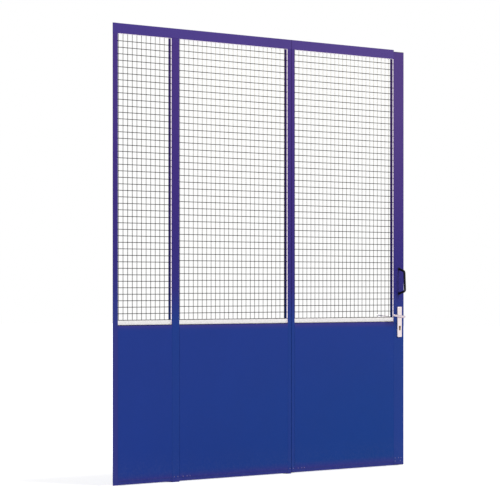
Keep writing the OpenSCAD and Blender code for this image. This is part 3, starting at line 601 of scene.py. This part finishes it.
FINISHES = {
    "violet_paint": powder_coat("violet_frame_paint", frame_tone, 0.44),
    "blue_paint": powder_coat("blue_sheet_paint", sheet_tone, 0.4),
    "pale_zinc": galvanised("pale_zinc_strip", shade(226, 223, 222), 0.1, 0.42, 0.55),
    "edge_trim": galvanised("bright_edge_trim", shade(252, 240, 255), 0.04, 0.1, 1.0),
    "mesh_wire": drawn_wire(),
    "lock_steel": brushed("plain_lock_steel", shade(172, 173, 176), (1, 1, 14), 0.3, 0.5),
    "satin_silver": brushed("satin_aluminium", shade(224, 212, 212), (14, 14, 1), 0.3, 0.3),
    # The lever's rear side is painted near-white, as painted light on the shaded rear lever.
    "lever": brushed("satin_lever", shade(200, 187, 194), (1, 14, 14), 0.3, 0.2, REAR_LEVER_PAINTED_LIGHT),
    "lock_brass": tarnished_brass(),
    "rivets": galvanised("dull_rivet_zinc", shade(116, 106, 148), 0.15, 0.6, 0.1),
    "black_paint": black_coat(),
    "black_plastic": moulded_plastic(),
}
OWN_FINISH = {"narrow_edge_trim": "edge_trim", "middle_edge_trim": "edge_trim",
              "door_edge_trim": "edge_trim", "left_foot_plate": "edge_trim",
              "front_lever": "lever", "rear_lever": "lever",
              "panel_rivets": "rivets", "door_rivets": "rivets"}


def finish_of(node):
    """The node's own finish, where it has one, or its slot's."""
    return FINISHES[OWN_FINISH.get(node, SLOT_OF[node])]


for node in SLOT_OF:
    NODES[node].material_slots[0].material = finish_of(node)


# ---- The mesh: wires pressed together and welded at every crossing ----

WIRE_R = 2 * MM
LEVEL_WIRE_R = 2.25 * MM
WIRE_SIDES = 10
LUMP_ACROSS = 1.45
LUMP_DEPTH = 1.15
LUMP_SIDES = 8
LUMP_TILT = math.radians(55)
FIRST_WIRE = 35 * MM
END_GAP = 0.3 * MM
SILL_H = 29 * MM
LOWEST_WIRE_Z = SHEET_TOP + SILL_H + WIRE_R
WELD_PRESS = 0.25 * MM
PITCHES = {
    "narrow_mesh": (42.6 * MM, 41.5 * MM),
    "middle_mesh": (43.2 * MM, 42.8 * MM),
    "door_mesh": (42.4 * MM, 42.8 * MM),
}


def repeated(count, rows, columns):
    """The faces of one grid after another, each of rows rings of columns points."""
    first = np.arange(count)[:, None, None] * rows * columns
    return (first + grid_faces(rows, columns)).reshape(-1, 4)


def straight_wires(starts, ends, radius):
    """Round wires of a radius from each start to its end, as two rings of points each.

    A ring's point is centre + r (cos a) Y + r (sin a) T, T being square to Y and to the wire."""
    along = (ends[0] - starts[0]) / np.linalg.norm(ends[0] - starts[0])
    third = np.cross(along, BACKWARD)
    turn = np.linspace(0, 2 * np.pi, WIRE_SIDES, endpoint=False)
    ring = radius * (np.cos(turn)[:, None] * BACKWARD + np.sin(turn)[:, None] * third)
    points = np.stack([starts[:, None] + ring, ends[:, None] + ring], 1)
    return points, repeated(len(starts), 2, WIRE_SIDES)


def weld_lumps(crossings):
    """Small flattened lumps, one about each crossing of two wires.

    A lump's point is centre + (a cos v cos u, b sin v, a cos v sin u), a being LUMP_ACROSS and b
    LUMP_DEPTH wire radii: three rings, at v = -LUMP_TILT, 0 and LUMP_TILT, closed with a flat at
    each end."""
    tilt = np.array([-LUMP_TILT, 0.0, LUMP_TILT])[:, None]
    turn = np.linspace(0, 2 * np.pi, LUMP_SIDES, endpoint=False)[None]
    lump = WIRE_R * np.stack([
        LUMP_ACROSS * np.cos(tilt) * np.cos(turn), LUMP_DEPTH * np.sin(tilt) * np.ones_like(turn),
        LUMP_ACROSS * np.cos(tilt) * np.sin(turn)], -1).reshape(-1, 3)
    return crossings[:, None] + lump[None], repeated(len(crossings), len(tilt), LUMP_SIDES)


def points_at(xs, ys, zs):
    """One point for each combination of places that numpy broadcasts."""
    return np.stack(np.broadcast_arrays(xs, ys, zs), -1).reshape(-1, 3).astype(float)


def welded_mesh(node, pitch_x, pitch_z):
    """A bay's mesh: upright wires behind level ones, pressed together a little and welded.

    Upright wire i stands FIRST_WIRE + i pitch_x from the bay's left edge, and level wire j lies
    j pitch_z over the lowest."""
    low, high = low_high(node)
    left = low[0] - END_GAP
    level_y = low[1] + LEVEL_WIRE_R
    upright_y = high[1] - WIRE_R - WELD_PRESS
    bay_w = high[0] + END_GAP - left
    columns = int((bay_w - FIRST_WIRE - 2 * WIRE_R) / pitch_x) + 1
    rows = int((POST_TOP - LOWEST_WIRE_Z - 2 * WIRE_R) / pitch_z) + 1
    x = left + FIRST_WIRE + np.arange(columns) * pitch_x
    z = LOWEST_WIRE_Z + np.arange(rows) * pitch_z
    parts = {
        "_uprights": straight_wires(
            points_at(x, upright_y, low[2]), points_at(x, upright_y, high[2]), WIRE_R),
        "_levels": straight_wires(
            points_at(low[0], level_y, z), points_at(high[0], level_y, z), LEVEL_WIRE_R),
        "_welds": weld_lumps(points_at(x[None], (level_y + upright_y) / 2, z[:, None])),
    }
    return stands_for(joined(node + "_welded", [
        closed(piece(node + part, *shape), 1e-8) for part, shape in parts.items()]), node)


for node, (pitch_x, pitch_z) in PITCHES.items():
    welded_mesh(node, pitch_x, pitch_z)


# ---- Handles ----


def pull_handle():
    """A bar bent twice between its feet, on round pads. The ends lean towards the middle.

    The bends are arcs of radius PULL_BEND. A pad is a turned disc with a rounded corner, and a
    collar stands on it round the bar."""
    low, high = low_high("pull_handle")
    top_z = high[2] - PULL_PAD_R
    low_z = low[2] + PULL_PAD_R
    bar = swept_rod("pull_bar", bent_path([
        (LOCK_X, FRONT_Y - PULL_PAD_T / 2, top_z),
        (LOCK_X, FRONT_Y - PULL_TOP_OFF, top_z - PULL_LEAN),
        (LOCK_X, FRONT_Y - PULL_LOW_OFF, low_z + PULL_LEAN),
        (LOCK_X, FRONT_Y - PULL_PAD_T / 2, low_z)], PULL_BEND, 14), PULL_BAR_R, RIGHTWARD, 40)
    collar = [PULL_BAR_R, PULL_PAD_T] + np.array(PULL_COLLAR) * MM
    profile = np.vstack([
        [[ON_AXIS, 0.0], [PULL_PAD_R - 0.3 * MM, 0.0]],
        quarter_round(PULL_PAD_R, PULL_PAD_T, 1.5 * MM), collar, [[ON_AXIS, collar[-1][1]]]])
    pads = [turned("pull_pad", profile, (LOCK_X, FRONT_Y, z), FORWARD, 40) for z in (top_z, low_z)]
    return stands_for(joined("bent_pull_handle", [bar, *pads]), "pull_handle", crease=50)


def lever(node, side):
    """A round bar that leaves the plate, turns through a bend and rises a little to a round tip.

    Its radius is the neck's at the plate, a ring's in front of it and the bar's after the bend.
    The grip swells as R (1 + LEVER_SWELL sin(pi t)), t going from 0 to 1 along it, and its tip
    falls on a quarter circle to nothing."""
    reach = side * (REAR_Y + LEVER_AXIS)
    tip = np.array([LOCK_X - LEVER_GRIP * math.cos(LEVER_RISE), reach,
                    LEVER_PIVOT[2] + LEVER_GRIP * math.sin(LEVER_RISE)])
    start = np.array([LOCK_X, side * (REAR_Y + LEVER_SEAT), LEVER_PIVOT[2]])
    shoulder = np.array([LOCK_X, side * (REAR_Y + PLATE_FACE + LEVER_SHOULDER), LEVER_PIVOT[2]])
    path = bent_path([start, (LOCK_X, reach, LEVER_PIVOT[2]), tip], LEVER_BEND, 16)
    straight = tip - path[-2]
    length = np.linalg.norm(straight)
    along = straight / length
    grip = path[-2] + straight * np.linspace(0.05, 1 - LEVER_BAR_R / length, 12)[:, None]
    turn = np.linspace(0, np.pi / 2, 9)[1:]
    dome = grip[-1] + along * (LEVER_BAR_R * np.sin(turn))[:, None]
    neck = start + (shoulder - start) * np.array(LEVER_NECK_STEPS)[:, None]
    path = np.vstack([neck, path[1:-1], grip, dome])
    radii = np.concatenate([
        LEVER_NECK_R * np.ones(2), LEVER_RING_R * np.ones(2), [LEVER_NECK_R],
        np.linspace(LEVER_NECK_R, LEVER_BAR_R, len(path) - 5 - len(grip) - len(dome)),
        LEVER_BAR_R * (1 + LEVER_SWELL * np.sin(np.linspace(0, np.pi, len(grip)))),
        LEVER_BAR_R * np.cos(turn) + 1e-5])
    bar = swept_rod(node + "_round", path, radii, (0.0, 0.0, 1.0), 40)
    return stands_for(bar, node, crease=42)


def backplate(node):
    """A copy of a backplate with its face's edge rounded off.

    The face is taken off and its outline carried up again in rings. At angle a the ring stands
    r (1 - cos a) inside the outline and r (1 - sin a) under the face, r being PLATE_EDGE_R. The
    face is then filled anew round its holes. The outline is a rectangle with round corners, and
    the way out of it at a point leads from the rectangle that the corners' centres span."""
    low, high = low_high(node)
    centre = (low + high) / 2
    span = (high - low) / 2 - PLATE_CORNER
    side = math.copysign(1, centre[1])
    face_y = side * (REAR_Y + PLATE_FACE)
    thing, work = merged_copy(node + "_rounded", node)
    bmesh.ops.delete(work, context="FACES", geom=[face for face in work.faces if all(
        abs(corner.co.y - face_y) < 0.05 * MM for corner in face.verts)])

    def outward(point):
        """The way out of the outline, longer than PLATE_CORNER / 2 only near the outline."""
        out = np.array([point.x - centre[0], point.z - centre[2]])
        return np.sign(out) * np.maximum(np.abs(out) - span[[0, 2]], 0)

    ring = [edge for edge in work.edges if edge.is_boundary and all(
        np.linalg.norm(outward(end.co)) > PLATE_CORNER / 2 for end in edge.verts)]
    for corner in {end for edge in ring for end in edge.verts}:
        corner.co.y = face_y - side * PLATE_EDGE_R
    turn = np.linspace(0, np.pi / 2, 9)
    for before, here in zip(turn, turn[1:]):
        grown = bmesh.ops.extrude_edge_only(work, edges=ring)["geom"]
        ring = [part for part in grown if isinstance(part, bmesh.types.BMEdge)]
        inset = PLATE_EDGE_R * (np.cos(before) - np.cos(here))
        for corner in (part for part in grown if isinstance(part, bmesh.types.BMVert)):
            out = outward(corner.co)
            out *= inset / np.linalg.norm(out)
            corner.co.x -= out[0]
            corner.co.z -= out[1]
            corner.co.y = face_y - side * PLATE_EDGE_R * (1 - math.sin(here))
    bmesh.ops.triangle_fill(work, use_beauty=True, normal=(0, side, 0),
                            edges=[edge for edge in work.edges if edge.is_boundary])
    bmesh.ops.recalc_face_normals(work, faces=work.faces)
    for face in work.faces:
        face.smooth = any(abs(corner.co.y - face_y) > 1e-5 for corner in face.verts)
    work.to_mesh(thing.data)
    work.free()
    return stands_for(thing, node)


pull_handle()
lever("front_lever", -1)
lever("rear_lever", 1)
backplate("front_plate")
backplate("rear_plate")


# ---- Rivets, screws and springs ----

# The rivet head's profile: distance from its middle in head radii, height in mm
RIVET_PROFILE = [
    (0.98, 0.0), (1.0, 0.12), (0.93, 0.62), (0.78, 1.12), (0.6, 1.42), (0.47, 1.5),
    (0.37, 1.36), (0.33, 0.9), (0.29, 0.86), (0.26, 1.18), (0.1, 1.3)]
RIVET_R = 3.6 * MM
UPRIGHT_RIVETS = (20 * MM, 54 * MM)
SHEET_RIVETS = (35 * MM, 72 * MM, 101 * MM)
STILE_RIVETS_LOW = (15 * MM, 72 * MM)
STILE_RIVETS_HIGH = (15 * MM, 53 * MM, 81 * MM)
RIVET_Z = 35 * MM
STILE_RIVET_HIGH_Z = 57 * MM


def blind_rivet(centre):
    """A domed rim round a shallow dish with the broken stem in it: RIVET_PROFILE, turned."""
    curve = RIVET_PROFILE * np.array([RIVET_R, MM])
    profile = np.vstack([[[ON_AXIS, 0.0]], curve, [[ON_AXIS, curve[-1][1]]]])
    return turned("rivet", profile, centre, FORWARD, 28)


def rivets(node, places):
    return stands_for(joined(node + "_dished", [
        blind_rivet((x, FRONT_Y, z)) for x, z in places]), node, crease=60)


rivets("panel_rivets",
       [(MULLION_LOW[0] + dx, RIVET_Z) for dx in UPRIGHT_RIVETS]
       + [(MULLION_HIGH[0] + dx, RIVET_Z) for dx in SHEET_RIVETS]
       + [(POST_LOW[0] + UPRIGHT_RIVETS[0], RIVET_Z)])
rivets("door_rivets",
       [(POST_LOW[0] + UPRIGHT_RIVETS[1], RIVET_Z)]
       + [(HINGE_STILE_HIGH[0] + dx, RIVET_Z) for dx in SHEET_RIVETS]
       + [(STILE_LOW[0] + dx, RIVET_Z) for dx in STILE_RIVETS_LOW]
       + [(STILE_LOW[0] + dx, STILE_RIVET_HIGH_Z) for dx in STILE_RIVETS_HIGH])


def socket_screw(name, centre, axis, head_r, head_h, shank_r, shank_l, socket_r):
    """A low domed head over its shank, with a six-sided socket sunk into it.

    From the rim inwards the head rises as h (0.45 + 0.55 sqrt(1 - (1 - t)^2)), a quarter ellipse
    that ends 1.3 socket radii from the middle. The socket's floor lies at a quarter of h."""
    inwards = np.linspace(0, 1, 5)
    dome = np.column_stack([head_r - (head_r - socket_r * 1.3) * inwards,
                            head_h * (0.45 + 0.55 * np.sqrt(1 - (1 - inwards) ** 2))])
    floor_h = 0.25 * head_h
    profile = np.vstack([
        [[ON_AXIS, -shank_l], [shank_r, -shank_l], [shank_r, 0.0], [head_r, 0.0]], dome,
        [[socket_r, head_h], [socket_r, floor_h], [ON_AXIS, floor_h]]])
    wall = (len(profile) - 3, len(profile) - 2)
    return turned(name, profile, centre, axis, 36, {row: hexagon for row in wall})


def screw_pair(node, face_y, axis, head_r, **sizes):
    """Two socket screws on the lock's line, where the node's box has its top and bottom heads."""
    low, high = low_high(node)
    return stands_for(joined(node + "_socketed", [
        socket_screw("screw", (LOCK_X, face_y, z), axis, head_r, **sizes)
        for z in (low[2] + head_r, high[2] - head_r)]), node, crease=50)


screw_pair("plate_bolts", FRONT_Y - PLATE_FACE, FORWARD, head_r=4.6 * MM, head_h=1.5 * MM,
           shank_r=2.5 * MM, shank_l=44 * MM, socket_r=1.5 * MM)
screw_pair("pull_handle_screws", REAR_Y, BACKWARD, head_r=5 * MM, head_h=3.5 * MM,
           shank_r=3 * MM, shank_l=44 * MM, socket_r=2 * MM)


def return_spring(side):
    """Turns of spring wire round the lever's neck, a helix under the plate's face.

    Its centre line is M + R (cos t, 0, sin t) + p (t / 2 pi - 1) Y. The middle M is on the
    lever's axis, and p is the pitch."""
    middle = side * (REAR_Y + PLATE_FACE - SPRING_DEPTH)
    turn = np.linspace(0, 2 * np.pi * SPRING_TURNS, 48 * SPRING_TURNS + 1)
    path = np.column_stack([LOCK_X + SPRING_R * np.cos(turn),
                            middle + SPRING_PITCH * (turn / (2 * np.pi) - 1),
                            LEVER_PIVOT[2] + SPRING_R * np.sin(turn)])
    return swept_rod("spring", path, SPRING_WIRE_R, BACKWARD, 8)


stands_for(joined("lever_return_springs_coiled", [return_spring(-1), return_spring(1)]),
           "lever_return_springs", crease=60)


# ---- Plain pieces with their edges eased ----

EASED = {
    0.5 * MM: ["left_cover_strip", "left_side_bar", "left_foot_plate", "narrow_sill_channel",
               "middle_sill_channel", "door_sill_channel", "hinge_pintles", "hinge_sleeves",
               "latch_bolt", "dead_bolt"],
    0.3 * MM: ["narrow_sheet", "middle_sheet", "door_sheet", "narrow_edge_trim",
               "middle_edge_trim", "door_edge_trim", "lock_forend", "hinge_washers"],
    0.24 * MM: ["rail_end_cap"],
}
for radius, nodes in EASED.items():
    for node in nodes:
        eased(node, radius)


# ---- Weld beads ----

HINGE_HALF = 60 * MM
HINGE_HEIGHTS = [z * MM for z in (230, 1050, 1870, 2690)]
SLEEVE_RISE = 2 * MM
BARREL_REACH = 9 * MM
BEAD_R = 2 * MM
BEAD_RIPPLE = 3.2 * MM
BEAD_RIPPLE_DEPTH = 0.13
BEAD_END = 0.4


def weld_bead(start, end):
    """A half-sunk bead along a line, made of rings round it.

    At the length s its radius is R (1 + d sin(2 pi s / l)), for ripples that are l long and d of R
    deep, and at both ends BEAD_END of that."""
    start, end = np.array(start), np.array(end)
    length = np.linalg.norm(end - start)
    share = np.linspace(0, 1, max(int(length / BEAD_RIPPLE * 4), 8) + 1)
    ripple = np.sin(2 * np.pi * share * length / BEAD_RIPPLE)
    radii = BEAD_R * (1 + BEAD_RIPPLE_DEPTH * ripple)
    radii[[0, -1]] *= BEAD_END
    return swept_rod("bead", start + (end - start) * share[:, None], radii, BACKWARD, 8)


def hinge_beads(name, node, side, rise):
    """Beads along the top, bottom and free edge of every hinge flap of one body."""
    low, high = low_high(node)
    edge = low[0] if side < 0 else high[0]
    inner = HINGE_X + side * BARREL_REACH
    corner = edge - side * BEAD_R
    beads = []
    for z in HINGE_HEIGHTS:
        foot, head = z + rise, z + rise + HINGE_HALF
        beads += [weld_bead((edge, REAR_Y, foot + 2 * BEAD_R), (edge, REAR_Y, head - 2 * BEAD_R)),
                  weld_bead((inner, REAR_Y, foot), (corner, REAR_Y, foot)),
                  weld_bead((inner, REAR_Y, head), (corner, REAR_Y, head))]
    return finished(creased(joined(name, beads), 70), node)


hinge_beads("pintle_weld_beads", "hinge_pintles", -1, -HINGE_HALF)
hinge_beads("sleeve_weld_beads", "hinge_sleeves", 1, SLEEVE_RISE)


# ---- Floor, world, light and camera ----

FLOOR_REACH = 60.0
FLOOR_COLOUR = (0.8, 0.8, 0.8, 1)
FLOOR_GLOW = 0.58
AMBIENT = 0.3
KEY_TOWARDS = (0.22, -0.8, 0.72)
KEY_STRENGTH = 2.22
KEY_SOFTNESS = 26
REAR_TOWARDS = (0.15, 0.85, 0.5)
REAR_STRENGTH = 1.3
REAR_SOFTNESS = 40
LAMP_DISTANCE = 8
CAMERA_PLACE = (-14.5454, -12.8501, 1.2606)
CAMERA_TURN = math.radians(-48.2383)
CAMERA_LENS = 207.2865
CAMERA_SENSOR = 36
CAMERA_SHIFT = 0.076446
CAMERA_REACH = 200


def pale_floor():
    """A wide floor. To the camera it glows to white and keeps the object's shadow."""
    floor = piece("pale_floor", FLOOR_REACH * np.array(
        [(-1, -1, 0), (1, -1, 0), (1, 1, 0), (-1, 1, 0)]), [(0, 1, 2, 3)])
    material = bpy.data.materials.new("pale_floor")
    material.use_nodes = True
    tree = material.node_tree
    tree.nodes.clear()
    diffuse = tree.nodes.new("ShaderNodeBsdfDiffuse")
    diffuse.inputs["Color"].default_value = FLOOR_COLOUR
    glow = tree.nodes.new("ShaderNodeEmission")
    glow.inputs["Strength"].default_value = FLOOR_GLOW
    both = tree.nodes.new("ShaderNodeAddShader")
    tree.links.new(diffuse.outputs[0], both.inputs[0])
    tree.links.new(glow.outputs[0], both.inputs[1])
    chosen = tree.nodes.new("ShaderNodeMixShader")
    tree.links.new(seen_directly(tree), chosen.inputs[0])
    tree.links.new(diffuse.outputs[0], chosen.inputs[1])
    tree.links.new(both.outputs[0], chosen.inputs[2])
    out = tree.nodes.new("ShaderNodeOutputMaterial")
    tree.links.new(chosen.outputs[0], out.inputs[0])
    floor.data.materials.append(material)


def seen_directly(tree):
    """1 for a ray from the camera, a gloss ray or a ray through glass, and else 0."""
    ray = tree.nodes.new("ShaderNodeLightPath")
    total = ray.outputs["Is Camera Ray"]
    for name in ("Is Glossy Ray", "Is Transmission Ray"):
        larger = tree.nodes.new("ShaderNodeMath")
        larger.operation = "MAXIMUM"
        tree.links.new(total, larger.inputs[0])
        tree.links.new(ray.outputs[name], larger.inputs[1])
        total = larger.outputs[0]
    return total


def white_world():
    """White where it is looked at, and a dim even light on the object."""
    world = bpy.data.worlds.new("plain_studio")
    bpy.context.scene.world = world
    world.use_nodes = True
    tree = world.node_tree
    tree.nodes.clear()
    light, white = (tree.nodes.new("ShaderNodeBackground") for _ in range(2))
    for background, strength in ((light, AMBIENT), (white, 1.0)):
        background.inputs["Color"].default_value = (1, 1, 1, 1)
        background.inputs["Strength"].default_value = strength
    chosen = tree.nodes.new("ShaderNodeMixShader")
    tree.links.new(seen_directly(tree), chosen.inputs[0])
    tree.links.new(light.outputs[0], chosen.inputs[1])
    tree.links.new(white.outputs[0], chosen.inputs[2])
    out = tree.nodes.new("ShaderNodeOutputWorld")
    tree.links.new(chosen.outputs[0], out.inputs[0])


def soft_lamp(name, towards, strength, softness):
    """A sun that lies towards a direction from the object and is softness degrees wide."""
    lamp = bpy.data.lights.new(name, "SUN")
    lamp.energy = strength
    lamp.angle = math.radians(softness)
    thing = bpy.data.objects.new(name, lamp)
    bpy.context.scene.collection.objects.link(thing)
    away = np.asarray(towards, float) / np.linalg.norm(towards)
    flat = math.hypot(away[0], away[1])
    thing.rotation_euler = (math.atan2(flat, away[2]), 0, math.atan2(away[0], -away[1]))
    thing.location = away * LAMP_DISTANCE


def photo_camera():
    """The photograph's view: level, from far off to the left, with the frame shifted upwards."""
    camera = bpy.data.cameras.new("photo_camera")
    camera.lens = CAMERA_LENS
    camera.sensor_width = CAMERA_SENSOR
    camera.shift_y = CAMERA_SHIFT
    camera.clip_end = CAMERA_REACH
    thing = bpy.data.objects.new("photo_camera", camera)
    bpy.context.scene.collection.objects.link(thing)
    thing.location = CAMERA_PLACE
    thing.rotation_euler = (math.radians(90), 0, CAMERA_TURN)
    bpy.context.scene.camera = thing


pale_floor()
white_world()
soft_lamp("key_light", KEY_TOWARDS, KEY_STRENGTH, KEY_SOFTNESS)
soft_lamp("rear_light", REAR_TOWARDS, REAR_STRENGTH, REAR_SOFTNESS)
photo_camera()
bpy.context.scene.view_settings.view_transform = "Standard"
